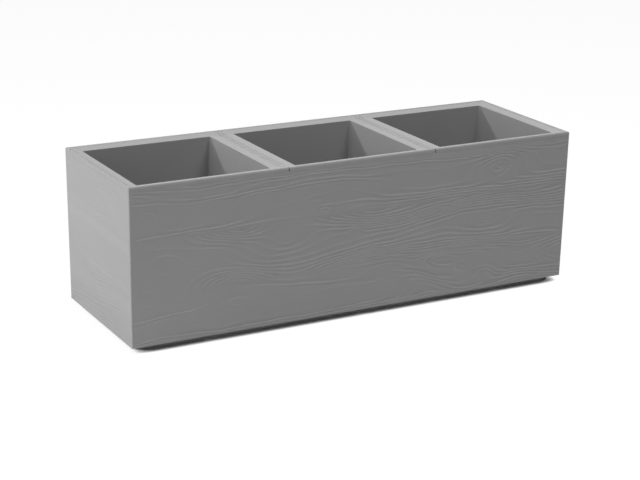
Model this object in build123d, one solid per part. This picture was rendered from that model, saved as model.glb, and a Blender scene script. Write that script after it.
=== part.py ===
from build123d import *
import os

# Rectangular planter: one moulded case that stands on a recessed foot, three drop-in plant
# inserts whose sloping rims close its top, and a sealed drain plug in the floor of each bay.
# Two partitions divide the case into bays, and channels in the foot let drained water out.
# Millimetres. X runs along the planter, -Y is its front, Z is up, and Z = 0 is the ground.

# Overall sizes
length = 880.0
width = 290.0
body_height = 280.0
foot_height = 10.0
cell_names = ("left", "middle", "right")

# Case: outer shell, cross partitions and recessed foot
case_wall = 3.0
case_floor = 3.0
case_draft = 2.0
case_corner_r = 2.5
case_lower_edge_r = 1.0
case_lip_bevel = 0.3
case_inner_r = 2.0
partition_wall = 4.0
foot_inset = 11.5
foot_corner_r = 24.0
foot_ring_width = 20.0
foot_recess = 1.5
drain_channel_width = 14.0

# Insert rim: a flat land at its outer edge, then a slope down to the cell
rim_width = 23.5
rim_land = 3.0
rim_drop = 4.2
rim_wall = 2.8
rim_edge_r = 2.2
skirt_height = 7.0
skirt_lower_bevel = 0.2
joint_gap = 0.1
joint_slot_width = 2.0
joint_slot_depth = 4.0
tongue_depth = 6.0
tongue_wall = 2.0
tongue_clearance = 0.6

# Insert cell: the pot that hangs from the rim
cell_wall = 2.5
cell_taper_x = 9.0
cell_taper_y = 6.0
cell_corner_r = 2.5
cell_floor_r = 2.0
cell_mouth_bevel = 1.0
reservoir_depth = 37.0
water_hole_r = 5.0
water_hole_spacing = 120.0

# Drain plug and its seal
drain_hole_r = 12.0
plug_clearance = 0.3
plug_head_overlap = 5.0
plug_head_thickness = 3.0
plug_recess = 0.8
plug_edge_r = 0.8
grip_length = 22.0
grip_wall = 4.0
grip_height = 9.0
seal_overlap = 4.0
seal_thickness = 2.0
seal_stretch_gap = 0.1

# Levels and places that follow from the sizes above
module = length / len(cell_names)
z_top = foot_height + body_height
z_seat = z_top - skirt_height
z_mouth = z_top - rim_drop
z_well_floor = foot_recess + case_floor
z_bay_floor = foot_height + case_floor
z_insert_under = z_well_floor + reservoir_depth
z_cell_floor = z_insert_under + cell_wall
overrun = 1.0


def outline(x_low, x_high, y_half, radius):
    """Rounded rectangle between two X edges, centred on Y."""
    return Pos((x_low + x_high) / 2, 0) * RectangleRounded(x_high - x_low, 2 * y_half, radius)


def prism(x_low, x_high, y_half, radius, z_low, z_high):
    """Upright block on a rounded rectangle."""
    return Pos(0, 0, z_low) * extrude(outline(x_low, x_high, y_half, radius), z_high - z_low)


def tapered(x_low, x_high, y_half, radius, z_low, z_high, taper_x, taper_y):
    """Block on a rectangle at z_high whose sides lean in by the tapers down to z_low."""
    span_x, span_y, span_z = x_high - x_low, 2 * y_half, z_high - z_low
    wedge = Wedge(span_x, span_z, span_y, taper_x, taper_y, span_x - taper_x, span_y - taper_y,
                  align=(Align.CENTER, Align.MIN, Align.CENTER))
    block = Pos((x_low + x_high) / 2, 0, z_high) * Rot(-90, 0, 0) * wedge
    if radius == 0:
        return block
    corners = block.edges().filter_by(lambda edge: edge.bounding_box().size.Z > span_z / 2)
    return fillet(corners, radius)


def upright_cylinder(x, y, radius, z_low, z_high):
    """Round bar along Z between two heights."""
    return Pos(x, y, (z_low + z_high) / 2) * Cylinder(radius, z_high - z_low)


def module_edges(index):
    """X of the two joint lines, or planter ends, on each side of one cell."""
    low = -length / 2 + index * module
    return low, low + module


def bay_edges(index):
    """X of the case faces on each side of one bay, at the case's top edge."""
    low, high = module_edges(index)
    low += case_wall if index == 0 else partition_wall / 2
    high -= case_wall if index == len(cell_names) - 1 else partition_wall / 2
    return low, high


def rim_edges(index):
    """X of the rim's two ends: flush with the case, or half a joint gap from the joint line."""
    low, high = module_edges(index)
    low += 0 if index == 0 else joint_gap / 2
    high -= 0 if index == len(cell_names) - 1 else joint_gap / 2
    return low, high


def make_case():
    """Drafted shell with a recessed foot, a floor, and a partition under each joint."""
    shell = tapered(-length / 2, length / 2, width / 2, case_corner_r,
                    foot_height, z_seat, case_draft, case_draft)
    shell = fillet(shell.edges().group_by(Axis.Z)[0], case_lower_edge_r)
    shell = chamfer(shell.edges().group_by(Axis.Z)[-1], case_lip_bevel)

    foot_x = length / 2 - case_draft - foot_inset
    foot_y = width / 2 - case_draft - foot_inset
    foot = prism(-foot_x, foot_x, foot_y, foot_corner_r, 0, z_bay_floor)
    foot = foot - prism(-foot_x + foot_ring_width, foot_x - foot_ring_width,
                        foot_y - foot_ring_width, foot_corner_r - foot_ring_width,
                        -overrun, foot_recess)

    inner_x = length / 2 - case_wall
    inner_y = width / 2 - case_wall
    hollow = tapered(-inner_x, inner_x, inner_y, case_inner_r,
                     z_bay_floor, z_seat, case_draft, case_draft)
    well = prism(-foot_x + case_wall, foot_x - case_wall, foot_y - case_wall,
                 foot_corner_r - case_wall, z_well_floor, z_bay_floor + overrun)
    hollow = hollow + well
    for index in range(1, len(cell_names)):
        joint_x = module_edges(index)[0]
        partition = Pos(joint_x, 0, 0) * Box(partition_wall, width, 2 * z_top)
        hollow = hollow - partition

    case = shell + foot - hollow
    for index in range(len(cell_names)):
        centre_x = sum(module_edges(index)) / 2
        case = case - upright_cylinder(centre_x, 0, drain_hole_r, -overrun, z_bay_floor)
        case = case - Pos(centre_x, 0, 0) * Box(drain_channel_width, width, 2 * foot_recess)
    return case


def rim_dish(lowered):
    """The space over the whole planter's sloping rim, moved down by a wall thickness."""
    slope_width = rim_width - rim_land
    return tapered(-length / 2 + rim_land, length / 2 - rim_land, width / 2 - rim_land, 0,
                   z_mouth - lowered, z_top - lowered, slope_width, slope_width)


def away_from_joints(edges):
    """Those of a rim's edges that don't lie along a joint line."""
    joints = [module_edges(index)[0] for index in range(1, len(cell_names))]
    return edges.filter_by(lambda edge: all(abs(edge.center().X - x) > joint_gap for x in joints))


def make_rim(index):
    """Rim block with rounded outer corners and top edge, square at a joint, and slotted there."""
    low, high = rim_edges(index)
    rim = Pos((low + high) / 2, 0, z_seat) * extrude(Rectangle(high - low, width), skirt_height)
    corners = away_from_joints(rim.edges().filter_by(Axis.Z))
    if corners:
        rim = fillet(corners, case_corner_r)
    rim = chamfer(away_from_joints(rim.edges().group_by(Axis.Z)[0]), skirt_lower_bevel)
    rim = fillet(away_from_joints(rim.edges().group_by(Axis.Z)[-1]), rim_edge_r)
    for joint in range(1, len(cell_names)):
        for side in (-1, 1):
            slot = Box(joint_slot_width, 2 * joint_slot_depth, 2 * z_top)
            rim = rim - Pos(module_edges(joint)[0], side * width / 2, 0) * slot
    return rim


def make_insert(index):
    """Plant insert: sloping rim with a skirt on the case's edge, tongue, pot and water holes."""
    low, high = rim_edges(index)
    rim = make_rim(index)

    bay_low, bay_high = bay_edges(index)
    tongue_low, tongue_high = bay_low + tongue_clearance, bay_high - tongue_clearance
    tongue_y = width / 2 - case_wall - tongue_clearance
    tongue = prism(tongue_low, tongue_high, tongue_y, case_inner_r,
                   z_seat - tongue_depth, z_seat + overrun)
    body = rim + tongue

    under = prism(tongue_low + tongue_wall, tongue_high - tongue_wall, tongue_y - tongue_wall,
                  case_inner_r, z_seat - tongue_depth, z_top - rim_wall)
    body = body - (under - rim_dish(rim_wall))

    cell_low, cell_high = low + rim_width, high - rim_width
    cell_y = width / 2 - rim_width
    pot = tapered(cell_low - cell_wall, cell_high + cell_wall, cell_y + cell_wall,
                  cell_corner_r + cell_wall, z_insert_under, z_mouth, cell_taper_x, cell_taper_y)
    cell = tapered(cell_low, cell_high, cell_y, cell_corner_r,
                   z_cell_floor, z_mouth, cell_taper_x, cell_taper_y)
    pot = fillet(pot.edges().group_by(Axis.Z)[0], cell_floor_r + cell_wall)
    cell = fillet(cell.edges().group_by(Axis.Z)[0], cell_floor_r)
    body = body + pot - cell
    body = body - tapered(cell_low - cell_mouth_bevel, cell_high + cell_mouth_bevel,
                          cell_y + cell_mouth_bevel, cell_corner_r + cell_mouth_bevel,
                          z_mouth - cell_mouth_bevel, z_mouth + cell_mouth_bevel,
                          2 * cell_mouth_bevel, 2 * cell_mouth_bevel)
    body = body - rim_dish(0)

    centre_x = (low + high) / 2
    half = water_hole_spacing / 2
    for x, y in ((0, 0), (-half, -half), (half, -half), (-half, half), (half, half)):
        body = body - upright_cylinder(centre_x + x, y, water_hole_r, 0, z_cell_floor + overrun)
    return body


def make_drain_plug(index):
    """Push-in plug: shank in the drain hole, head over the seal, and a bar to grip."""
    centre_x = sum(module_edges(index)) / 2
    z_head = z_well_floor + seal_thickness
    z_grip = z_head + plug_head_thickness
    shank_r = drain_hole_r - plug_clearance
    shank = upright_cylinder(centre_x, 0, shank_r, foot_recess + plug_recess, z_head + overrun)
    shank = chamfer(shank.edges().group_by(Axis.Z)[0], plug_edge_r)
    head = upright_cylinder(centre_x, 0, drain_hole_r + plug_head_overlap, z_head, z_grip)
    head = fillet(head.edges().group_by(Axis.Z)[-1], plug_edge_r)
    grip = Pos(centre_x, 0, z_grip - overrun) * extrude(
        RectangleRounded(grip_length, grip_wall, grip_wall / 3), grip_height + overrun)
    grip = fillet(grip.edges().group_by(Axis.Z)[-1], plug_edge_r)
    return shank + head + grip


def make_plug_seal(index):
    """Flat rubber ring between the case floor and the plug's head."""
    centre_x = sum(module_edges(index)) / 2
    bore_r = drain_hole_r - plug_clearance + seal_stretch_gap
    z_ring_top = z_well_floor + seal_thickness
    ring = upright_cylinder(centre_x, 0, drain_hole_r + seal_overlap, z_well_floor, z_ring_top)
    return ring - upright_cylinder(centre_x, 0, bore_r, 0, z_ring_top + overrun)


def main():
    os.makedirs("parts", exist_ok=True)
    export_step(make_case(), "parts/case.step")
    for index, name in enumerate(cell_names):
        export_step(make_insert(index), f"parts/insert_{name}.step")
        export_step(make_drain_plug(index), f"parts/drain_plug_{name}.step")
        export_step(make_plug_seal(index), f"parts/plug_seal_{name}.step")


main()
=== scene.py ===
import bmesh
import bpy
import numpy as np
from math import cos, pi, radians, sin
from mathutils import Matrix, Vector


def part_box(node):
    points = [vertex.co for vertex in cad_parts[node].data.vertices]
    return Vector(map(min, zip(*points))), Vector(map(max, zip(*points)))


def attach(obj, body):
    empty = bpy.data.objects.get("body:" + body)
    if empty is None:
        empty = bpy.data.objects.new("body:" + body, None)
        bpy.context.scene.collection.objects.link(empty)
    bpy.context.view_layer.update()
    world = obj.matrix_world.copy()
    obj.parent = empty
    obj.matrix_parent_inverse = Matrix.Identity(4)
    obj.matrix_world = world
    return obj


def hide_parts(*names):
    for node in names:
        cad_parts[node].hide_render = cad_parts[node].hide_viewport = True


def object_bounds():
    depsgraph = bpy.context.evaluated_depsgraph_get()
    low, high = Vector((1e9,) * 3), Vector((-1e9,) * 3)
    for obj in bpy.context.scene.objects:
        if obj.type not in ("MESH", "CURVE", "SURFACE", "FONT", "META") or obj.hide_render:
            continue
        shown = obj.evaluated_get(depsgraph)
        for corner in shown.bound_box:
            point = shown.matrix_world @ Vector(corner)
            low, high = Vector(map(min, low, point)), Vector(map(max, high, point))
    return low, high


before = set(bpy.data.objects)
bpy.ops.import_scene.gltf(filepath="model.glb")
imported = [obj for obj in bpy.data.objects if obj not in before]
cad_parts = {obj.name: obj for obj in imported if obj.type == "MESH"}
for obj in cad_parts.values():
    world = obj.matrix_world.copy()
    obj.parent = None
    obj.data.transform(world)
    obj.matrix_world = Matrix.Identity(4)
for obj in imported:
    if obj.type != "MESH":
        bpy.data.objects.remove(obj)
cad_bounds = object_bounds()

# Case: one moulding in grey plastic that stands on a foot set back under its lower edge.
# Its outside carries the raised grain of three boards, one above the other: long growth lines
# that crowd together beside the board joints and part around knots.
MM = 0.001
half_length = cad_bounds[1].x
half_width = cad_bounds[1].y
top_z = cad_bounds[1].z
seat_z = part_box("case")[1].z
foot_z = 10.0 * MM
wall_draft = 2.0 * MM
corner_radius = 2.5 * MM
lower_edge_radius = 1.0 * MM
lip_bevel = 0.3 * MM
skin_z = (foot_z + lower_edge_radius, seat_z - lip_bevel)

front_columns = 201
back_columns = 111
end_columns = 35
corner_columns = 7
row_height = 1.25 * MM

board_tops = (0.0, 95.0, 192.5)
board_joint_depth = 0.4
board_joint_half_width = 1.0
clear_wood_pitch = 60.0
line_depth = 1.15
line_half_width = 1.7
lone_line_strength = 0.15

# Where the relief fades in, in mm from a side's ends, from the top of the planter, from the top of
# the lower edge's rounding and from a board joint, and in lines per mm from lone to crowded
end_fade = (2, 6)
top_fade = (8.5, 11)
bottom_fade = (0.5, 4)
board_joint_fade = (1.5, 3.5)
crowded_from = (0.02, 0.14)
skin_reach = 1.5 * MM
skin_slack = 0.1 * MM

# Bundles of growth lines on each board, in mm: along, down from the board's top, half length,
# half height, lines, slope
top_bundles = (
    (440, 10, 900, 9, 2.0, 0.0), (120, 34, 150, 3, 0.5, 0.0), (260, 33, 120, 4, 0.6, -0.04),
    (420, 36, 70, 4, 0.8, 0.05), (120, 90, 120, 7, 1.5, -0.03), (620, 84, 190, 12, 2.6, 0.03),
    (850, 80, 110, 14, 2.2, -0.05), (640, 14, 200, 10, 1.6, 0.02))
middle_bundles = (
    (185, 13, 64, 16, 3.8, 0.05), (470, 21, 130, 19, 4.4, 0.07), (640, 13, 90, 12, 2.2, -0.10),
    (800, 23, 150, 20, 4.4, 0.04), (205, 82, 70, 16, 3.8, 0.02), (440, 81, 130, 18, 4.3, -0.05),
    (700, 89, 170, 9, 2.1, 0.02))
bottom_bundles = (
    (50, 41.5, 70, 5, 0.9, -0.08), (330, 19.5, 130, 6, 0.8, 0.12), (580, 47.5, 60, 15, 2.8, 0.40),
    (640, 4.5, 220, 6.5, 1.5, 0.02), (790, 63.5, 90, 11, 2.5, 0.05), (430, 82.5, 900, 5, 1.15, 0.0))

# Knots on each board, in mm: along, down, half length, half height, lines, slope
top_knots = (
    (725, 48, 52, 24, 3.2, -0.1), (727, 46, 9, 7, 1.6, 0.0), (345, 66, 16, 8, 0.8, 0.0),
    (362, 84, 16, 7, 1.2, 0.0), (32, 62, 16, 16, 1.0, 0.0))
middle_knots = (
    (66, 43, 34, 18, 1.6, 0.1), (296, 33, 46, 24, -2.2, 0.0), (428, 36, 12, 8, 1.2, 0.0),
    (695, 58, 66, 15, -1.8, 0.05))
bottom_knots = (
    (602, 18.5, 36, 15, 3.2, 0.05), (650, 37.5, 13, 7, 1.2, 0.0), (898, 34.5, 92, 18, 2.8, 0.0),
    (707, 54.5, 17, 11, 1.6, 0.0), (195, 34.5, 30, 10, 1.0, 0.0))
boards = ((top_bundles, top_knots), (middle_bundles, middle_knots), (bottom_bundles, bottom_knots))

# Each side of the case: which board lies on top, where along it the side starts, and how much
# of the relief's depth the side has
sides = {"front": (0, 0.0, 1.0), "right": (1, 560.0, 0.7),
         "back": (2, 0.0, 1.0), "left": (2, 380.0, 0.55)}


def smooth_step(value, low, high):
    """0 below low, 1 above high, and the cubic 3t^2 - 2t^3 in between."""
    t = np.clip((value - low) / (high - low), 0, 1)
    return t * t * (3 - 2 * t)


def growth(board, along, down):
    """Count of growth lines from a board's top edge to a point of it.

    Clear wood adds a line every clear_wood_pitch. A bundle adds its lines as a tanh across it,
    a knot as a Gaussian hump, and both fade with a Gaussian along the board.
    """
    bundles, knots = boards[board]
    wavy = down + (1.3 * np.sin(along / 61 + down / 47 + 2 * board)
                   + 0.9 * np.sin(along / 29 - down / 33 + 1.3)
                   + 0.5 * np.sin(along / 13 + down / 19 + 0.4))
    lines = wavy / clear_wood_pitch
    for middle, depth, half_run, half_rise, count, slope in bundles:
        across = (wavy - depth - slope * (along - middle)) / half_rise
        lines = lines + count * np.tanh(across) * np.exp(-((along - middle) / half_run) ** 2)
    for middle, depth, half_run, half_rise, count, slope in knots:
        across = (wavy - depth - slope * (along - middle)) / half_rise
        lines = lines + count * np.exp(-((along - middle) / half_run) ** 2 - across ** 2)
    return lines


def wall_inset(z):
    """How far the drafted wall stands in from the planter's outline at a height."""
    return wall_draft * (seat_z - z) / (seat_z - foot_z)


def relief(x, y, z):
    """Growth lines at points of the case's outside, and the depth cut there, in metres.

    The nearest of the four walls gives the side. A line lies where the growth count is a whole
    number and a half, its distance is the count's remainder divided by the count's slope, and its
    section is a Gaussian. It stands proud of the wood that is cut away beside it: deep where
    lines crowd, and faintly beside a lone line in clear wood.
    Gives the count, the slope in lines per mm, how strongly the point is carved, and the depth.
    """
    inset = wall_inset(z)
    gaps = np.stack((y + half_width - inset, half_length - inset - x, half_width - inset - y,
                     x + half_length - inset))
    runs = np.stack((x + half_length, y + half_width, half_length - x, half_width - y)) / MM
    lengths = np.array((2 * half_length, 2 * half_width, 2 * half_length, 2 * half_width)) / MM
    nearest = gaps.argmin(0)
    on_skin = ((gaps.min(0) < skin_reach) & (z > skin_z[0] - skin_slack)
               & (z < skin_z[1] + skin_slack))
    down = (top_z - z) / MM
    count, slope, carved = np.zeros_like(z), np.ones_like(z), np.zeros_like(z)
    joint = np.zeros_like(z)
    step = 0.25
    for side, (top_board, start, strength) in enumerate(sides.values()):
        here = runs[side]
        fade = smooth_step(here, *end_fade) * smooth_step(lengths[side] - here, *end_fade)
        fade = fade * smooth_step(down, *top_fade)
        fade = fade * smooth_step((z - skin_z[0]) / MM, *bottom_fade) * strength
        for level, level_top in enumerate(board_tops):
            level_end = (*board_tops, 400.0)[level + 1]
            inside = on_skin & (nearest == side) & (down >= level_top) & (down < level_end)
            board = (top_board + level) % 3
            along, depth = here[inside] + start, down[inside] - level_top
            count[inside] = growth(board, along, depth)
            rise_x = growth(board, along + step, depth) - growth(board, along - step, depth)
            rise_z = growth(board, along, depth + step) - growth(board, along, depth - step)
            slope[inside] = np.hypot(rise_x, rise_z) / (2 * step) + 1e-4
            from_joint = np.minimum(depth if level else 10, np.minimum(level_end - down[inside], 10))
            crowded = smooth_step(slope[inside], *crowded_from)
            crowded = lone_line_strength + (1 - lone_line_strength) * crowded
            carved[inside] = crowded * fade[inside] * smooth_step(from_joint, *board_joint_fade)
            joint[inside] = fade[inside] * np.exp(-(from_joint / board_joint_half_width) ** 2)
    off_line = np.abs(count - np.floor(count) - 0.5) / slope
    beside_line = 1 - np.exp(-(off_line / line_half_width) ** 2)
    cut = carved * line_depth * beside_line + board_joint_depth * joint
    return count, slope, carved, cut * MM


def relief_block():
    """Closed block whose outside is the case's skin with its relief.

    Columns go round a rounded rectangle, each at a fraction of its half length and half width
    plus the corner radius along the column's normal. Rows follow the wall's profile up: straight
    from under the ground, a quarter round at the lower edge, the drafted wall, the lip's bevel.
    """
    across = np.linspace(-1, 1, front_columns)
    back = np.linspace(1, -1, back_columns)
    end = np.linspace(-1, 1, end_columns)
    px, py, angle = [], [], []
    flats = ((across, -np.ones_like(across), -90), (np.ones_like(end), end, 0),
             (back, np.ones_like(back), 90), (-np.ones_like(end), -end, 180))
    for fx, fy, bearing in flats:
        turn = np.linspace(bearing, bearing + 90, corner_columns + 2)[1:-1]
        px += [fx, np.full(corner_columns, fx[-1])]
        py += [fy, np.full(corner_columns, fy[-1])]
        angle += [np.full(len(fx), bearing), turn]
    px, py, angle = np.concatenate(px), np.concatenate(py), np.radians(np.concatenate(angle))
    nx, ny = np.cos(angle), np.sin(angle)

    turn = np.radians(np.linspace(0, 90, 6))
    lower_z = skin_z[0] - lower_edge_radius * np.cos(turn)
    lower_inset = wall_inset(lower_z) + lower_edge_radius * (1 - np.sin(turn))
    wall_rows = round((skin_z[1] - skin_z[0]) / row_height)
    wall_z = np.linspace(skin_z[0], skin_z[1], wall_rows + 1)
    z = np.concatenate(((-10 * MM,), lower_z[:-1], wall_z, (seat_z, seat_z + 10 * MM)))
    inset = np.concatenate(((lower_inset[0],), lower_inset[:-1], wall_inset(wall_z), (lip_bevel, lip_bevel)))

    x = px * (half_length - inset[:, None] - corner_radius) + nx * corner_radius
    y = py * (half_width - inset[:, None] - corner_radius) + ny * corner_radius
    z = np.broadcast_to(z[:, None], x.shape)
    cut = relief(x, y, z)[3]
    points = np.stack((x - nx * cut, y - ny * cut, z), -1)

    rows, columns = x.shape
    index = np.arange(rows * columns).reshape(rows, columns)
    after = np.roll(index, -1, axis=1)
    quads = np.stack((index[:-1], after[:-1], after[1:], index[1:]), -1).reshape(-1, 4)
    mesh = bpy.data.meshes.new("relief_block")
    faces = quads.tolist() + [index[0, ::-1].tolist(), index[-1].tolist()]
    mesh.from_pydata(points.reshape(-1, 3), [], faces)
    return mesh


def case_without_skin(proud):
    """Copy of the CAD case whose outer skin stands proud, so that a cut can reshape it."""
    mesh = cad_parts["case"].data.copy()
    work = bmesh.new()
    work.from_mesh(mesh)
    bmesh.ops.remove_doubles(work, verts=work.verts, dist=0.001 * MM)
    work.to_mesh(mesh)
    work.free()
    points = np.empty(len(mesh.vertices) * 3)
    mesh.vertices.foreach_get("co", points)
    points = points.reshape(-1, 3)
    skin_depth = corner_radius + 0.25 * MM
    above_foot = points[:, 2] > foot_z - 0.1 * MM
    for axis, half in ((0, half_length), (1, half_width)):
        near = above_foot & (half - wall_inset(points[:, 2]) - np.abs(points[:, axis]) < skin_depth)
        points[near, axis] += np.sign(points[near, axis]) * proud
    mesh.vertices.foreach_set("co", points.ravel())
    mesh.update()
    return mesh


def place(name, mesh):
    """Puts a mesh in the scene as an object at the origin."""
    piece = bpy.data.objects.new(name, mesh)
    bpy.context.scene.collection.objects.link(piece)
    return piece


def finished_mesh(piece):
    """The mesh of a piece with its modifiers worked in."""
    graph = bpy.context.evaluated_depsgraph_get()
    return bpy.data.meshes.new_from_object(piece.evaluated_get(graph))


inside_of_case = place("inside_of_case", case_without_skin(2 * MM))
case = place("case_shell", relief_block())
cut = case.modifiers.new("cut", "BOOLEAN")
cut.operation = "INTERSECT"
cut.solver = "MANIFOLD"
cut.object = inside_of_case
case_mesh = finished_mesh(case)
case.modifiers.clear()
case.data = case_mesh
bpy.data.objects.remove(inside_of_case)

points = np.empty(len(case_mesh.vertices) * 3)
case_mesh.vertices.foreach_get("co", points)
count, slope, carved, _ = relief(*points.reshape(-1, 3).T)
for name, values in (("growth", count), ("crowding", slope), ("carved", carved)):
    case_mesh.attributes.new(name, "FLOAT", "POINT").data.foreach_set("value", values.astype(np.float32))

case_mesh.polygons.foreach_set("use_smooth", np.ones(len(case_mesh.polygons), bool))
crease_angle = radians(28)
case_mesh.set_sharp_from_angle(angle=crease_angle)
ends = np.empty(len(case_mesh.edges) * 2, int)
case_mesh.edges.foreach_get("vertices", ends)
in_relief = (carved[ends.reshape(-1, 2)] > 0).any(1)
sharp = np.zeros(len(case_mesh.edges), bool)
case_mesh.attributes["sharp_edge"].data.foreach_get("value", sharp)
case_mesh.attributes["sharp_edge"].data.foreach_set("value", sharp & ~in_relief)


class Flow:
    """A value in a material's node tree. Arithmetic on it adds Math nodes."""

    def __init__(self, tree, socket=None):
        self.tree = tree
        self.socket = socket

    def node(self, kind, settings, sockets, output=0):
        """Adds a node of a kind, makes its settings, fills its sockets and gives one output."""
        made = self.tree.nodes.new(kind)
        for name, value in settings.items():
            setattr(made, name, value)
        for name, value in sockets.items():
            if isinstance(value, Flow):
                self.tree.links.new(value.socket, made.inputs[name])
            else:
                made.inputs[name].default_value = value
        return Flow(self.tree, made.outputs[output])

    def math(self, operation, *values):
        return self.node("ShaderNodeMath", {"operation": operation}, dict(enumerate(values)))

    def __add__(self, other):
        return self.math("ADD", self, other)

    def __sub__(self, other):
        return self.math("SUBTRACT", self, other)

    def __rsub__(self, other):
        return self.math("SUBTRACT", other, self)

    def __mul__(self, other):
        return self.math("MULTIPLY", self, other)

    def __truediv__(self, other):
        return self.math("DIVIDE", self, other)

    __radd__ = __add__
    __rmul__ = __mul__


def plastic(name, grey, roughness, mottling, grain_height, grain_size):
    """Moulded plastic: a grey with slow mottling over it and a fine spark-eroded texture.

    Gives the material, its shader node, its flow, its colour and its height, so that a piece's
    own marks can be added before finish_plastic connects them.
    """
    material = bpy.data.materials.new(name)
    material.use_nodes = True
    shader = material.node_tree.nodes["Principled BSDF"]
    shader.inputs["Roughness"].default_value = roughness
    shader.inputs["Specular IOR Level"].default_value = 0.4
    flow = Flow(material.node_tree)
    place_on = flow.node("ShaderNodeTexCoord", {}, {}, "Object")
    slow = flow.node("ShaderNodeTexNoise", {}, {"Vector": place_on, "Scale": 14.0, "Detail": 3.0}, "Fac")
    fine_noise = {"Vector": place_on, "Scale": 1 / grain_size, "Detail": 2.0}
    fine = flow.node("ShaderNodeTexNoise", {}, fine_noise, "Fac")
    tint = grey * (1 + mottling * 2 * (slow - 0.5) + mottling * (fine - 0.5))
    return material, shader, flow, tint, fine * grain_height


def finish_plastic(shader, flow, tint, height):
    """Connects a grey value to the colour and a height in metres to the normal."""
    colour = flow.node("ShaderNodeCombineColor", {}, {"Red": tint, "Green": tint, "Blue": tint})
    flow.tree.links.new(colour.socket, shader.inputs["Base Color"])
    bump = flow.node("ShaderNodeBump", {}, {"Strength": 1.0, "Distance": 1.0, "Height": height}, "Normal")
    flow.tree.links.new(bump.socket, shader.inputs["Normal"])


case_grey = 0.33
# Share by which the growth lines are painted lighter: a painted highlight on their raised ridges.
painted_line_highlight = 0.10
fine_line_depth = 0.35
material, shader, flow, tint, height = plastic("case_plastic", case_grey, 0.55, 0.03, 0.03 * MM, 1.2 * MM)
growth_count, crowding, carving = (
    flow.node("ShaderNodeAttribute", {"attribute_name": name}, {}, "Fac")
    for name in ("growth", "crowding", "carved"))
off_line = flow.math("ABSOLUTE", flow.math("FRACT", growth_count) - 0.5) / crowding
line = carving * flow.math("EXPONENT", off_line * off_line * (-1 / line_half_width ** 2))
# The growth lines are painted lighter, a painted highlight on their ridges, and they also rise in the bump.
finish_plastic(shader, flow, tint * (1 + painted_line_highlight * line), height + fine_line_depth * MM * line)
case_mesh.materials.clear()
case_mesh.materials.append(material)
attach(case, "case")
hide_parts("case")

# Plant inserts: three pots in the same grey plastic, each hung from a broad sloping rim whose
# skirt sits on the case's top edge. They lift out one by one, and their rims meet at two joints.
# A bead in the bump runs along each rim's edge: one cosine wave over bead_width in from the edge.
bead_width = 8.0 * MM
bead_height = 2.2 * MM
insert_pitch = 2 * half_length / 3
material, shader, flow, tint, height = plastic("insert_plastic", case_grey, 0.48, 0.025, 0.02 * MM, 1.5 * MM)
position = flow.node("ShaderNodeTexCoord", {}, {}, "Object")
x, y = (flow.node("ShaderNodeSeparateXYZ", {}, {"Vector": position}, axis) for axis in ("X", "Y"))
along = flow.math("FRACT", (x + half_length) / insert_pitch)
from_end = (0.5 - flow.math("ABSOLUTE", along - 0.5)) * insert_pitch
from_edge = flow.math("MINIMUM", from_end, half_width - flow.math("ABSOLUTE", y))
across = flow.math("MINIMUM", from_edge / bead_width, 1.0)
bead = bead_height * (0.5 - 0.5 * flow.math("COSINE", across * (2 * pi)))
finish_plastic(shader, flow, tint, height + bead)
for name in ("insert_left", "insert_middle", "insert_right"):
    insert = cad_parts[name]
    insert.data.materials.clear()
    insert.data.materials.append(material)

# Drain plugs: dark plastic plugs with a bar to pull them by, pressed into the case's floor.
material, shader, flow, tint, height = plastic("plug_plastic", 0.05, 0.42, 0.06, 0.02 * MM, 1.0 * MM)
finish_plastic(shader, flow, tint, height)
for name in ("drain_plug_left", "drain_plug_middle", "drain_plug_right"):
    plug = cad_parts[name]
    plug.data.materials.clear()
    plug.data.materials.append(material)

# Plug seals: flat rings of soft black rubber under the plugs' heads.
material, shader, flow, tint, height = plastic("seal_rubber", 0.02, 0.8, 0.1, 0.03 * MM, 0.8 * MM)
finish_plastic(shader, flow, tint, height)
for name in ("plug_seal_left", "plug_seal_middle", "plug_seal_right"):
    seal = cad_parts[name]
    seal.data.materials.clear()
    seal.data.materials.append(material)

# Studio: a white floor and surround, and a long lens from the front left and above. A wide soft
# light stands low at the left with a small key behind it, and three more hang higher up.
scene = bpy.context.scene
scene.view_settings.view_transform = "Standard"
centre = Vector((0, 0, 150 * MM))


def bearing(azimuth, elevation):
    """Unit vector from the planter at an elevation and an azimuth, 0 at its front, -90 at its left."""
    a, e = radians(azimuth), radians(elevation)
    return Vector((sin(a) * cos(e), -cos(a) * cos(e), sin(e)))


def soft_light(name, azimuth, elevation, distance, width, height, power):
    """Rectangular area light on a bearing from the planter, facing it."""
    lamp = bpy.data.lights.new(name, "AREA")
    lamp.shape = "RECTANGLE"
    lamp.size = width
    lamp.size_y = height
    lamp.energy = power
    holder = bpy.data.objects.new(name, lamp)
    out = bearing(azimuth, elevation)
    holder.rotation_mode = "QUATERNION"
    holder.rotation_quaternion = out.to_track_quat("Z", "Y")
    holder.location = centre + out * distance
    scene.collection.objects.link(holder)


soft_light("left_light", -88, 15, 2.6, 2.0, 1.4, 20.0)
soft_light("left_key", -116, 19, 3.0, 0.15, 0.15, 22.0)
soft_light("high_left_light", -95, 52, 2.8, 1.2, 1.2, 16.0)
soft_light("high_front_light", 15, 66, 2.6, 2.0, 1.0, 14.0)
soft_light("high_right_light", 60, 77, 3.0, 1.2, 1.2, 54.0)

world = bpy.data.worlds.new("studio_surround")
world.use_nodes = True
scene.world = world
surround = 0.03
background = world.node_tree.nodes["Background"]


def seen_directly(flow):
    """1 on the rays of the camera, of reflections and of glass, which show the studio white."""
    camera_ray, glossy_ray, glass_ray = (
        flow.node("ShaderNodeLightPath", {}, {}, ray)
        for ray in ("Is Camera Ray", "Is Glossy Ray", "Is Transmission Ray"))
    return flow.math("MAXIMUM", flow.math("MAXIMUM", camera_ray, glossy_ray), glass_ray)


world_light = surround + (1 - surround) * seen_directly(Flow(world.node_tree))
world.node_tree.links.new(world_light.socket, background.inputs["Strength"])
background.inputs["Color"].default_value = (1, 1, 1, 1)

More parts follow.
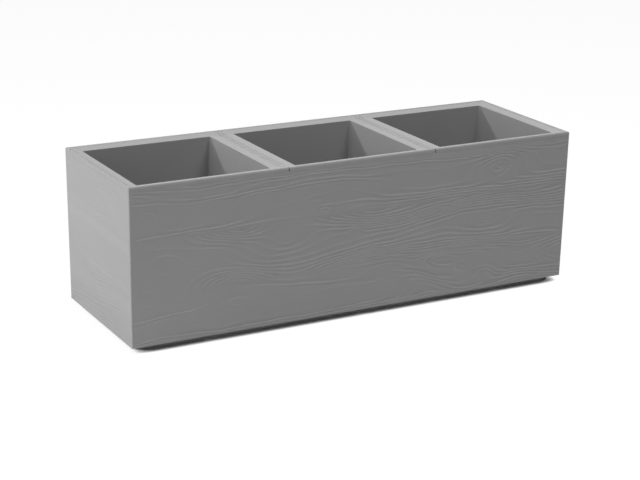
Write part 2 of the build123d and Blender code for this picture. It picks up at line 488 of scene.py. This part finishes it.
floor_radius = 12.0
floor_corners = 64
turn = np.linspace(0, 2 * pi, floor_corners + 1)[:-1]
mesh = bpy.data.meshes.new("floor")
rim = np.stack((floor_radius * np.cos(turn), floor_radius * np.sin(turn), 0 * turn), -1)
mesh.from_pydata(rim, [], [range(floor_corners)])
floor = place("floor", mesh)
material = bpy.data.materials.new("white_floor")
material.use_nodes = True
shader = material.node_tree.nodes["Principled BSDF"]
shader.inputs["Base Color"].default_value = (0.8, 0.8, 0.8, 1)
shader.inputs["Roughness"].default_value = 0.9
shader.inputs["Specular IOR Level"].default_value = 0.0
flow = Flow(material.node_tree)
# Painted contact shadow: the floor's white glow is dimmed by ambient occlusion within a short reach, sampled
# towards the back left, so a painted shadow lies where the planter stands close.
painted_shadow_open_side = bearing(-165, 30)
towards = flow.node("ShaderNodeCombineXYZ", {}, dict(zip("XYZ", painted_shadow_open_side)))
painted_shadow_reach = 20 * MM
painted_shadow_occlusion = flow.node("ShaderNodeAmbientOcclusion", {"samples": 16},
                    {"Distance": painted_shadow_reach, "Normal": towards}, "AO")
outside_painted_shadow = flow.node("ShaderNodeMapRange", {}, {"Value": painted_shadow_occlusion, "From Min": 0.3, "From Max": 0.55})
glow_with_painted_shadow = flow.node("ShaderNodeEmission", {}, {"Strength": outside_painted_shadow * 1.05})
seen = seen_directly(flow)
plain = Flow(flow.tree, shader.outputs[0])
mixed = flow.node("ShaderNodeMixShader", {}, {0: seen * 0.9, 1: plain, 2: glow_with_painted_shadow})
material.node_tree.links.new(mixed.socket, material.node_tree.nodes["Material Output"].inputs["Surface"])
mesh.materials.append(material)

lens = bpy.data.cameras.new("camera")
lens.sensor_width = 36.0
lens.lens = 96.3
camera = bpy.data.objects.new("camera", lens)
scene.collection.objects.link(camera)
scene.camera = camera
camera_azimuth, camera_elevation, camera_distance = -28.9804, 16.7851, 3.1333
aim_azimuth, aim_elevation, camera_roll = 0.0829, 0.8818, 0.933
back_axis = bearing(camera_azimuth + aim_azimuth, camera_elevation + aim_elevation)
level_right = (-back_axis).cross(Vector((0, 0, 1))).normalized()
level_up = level_right.cross(-back_axis)
roll = radians(camera_roll)
right_axis = cos(roll) * level_right + sin(roll) * level_up
up_axis = cos(roll) * level_up - sin(roll) * level_right
turned = Matrix((right_axis, up_axis, back_axis)).transposed().to_4x4()
stand = centre + bearing(camera_azimuth, camera_elevation) * camera_distance
camera.matrix_world = Matrix.Translation(stand) @ turned
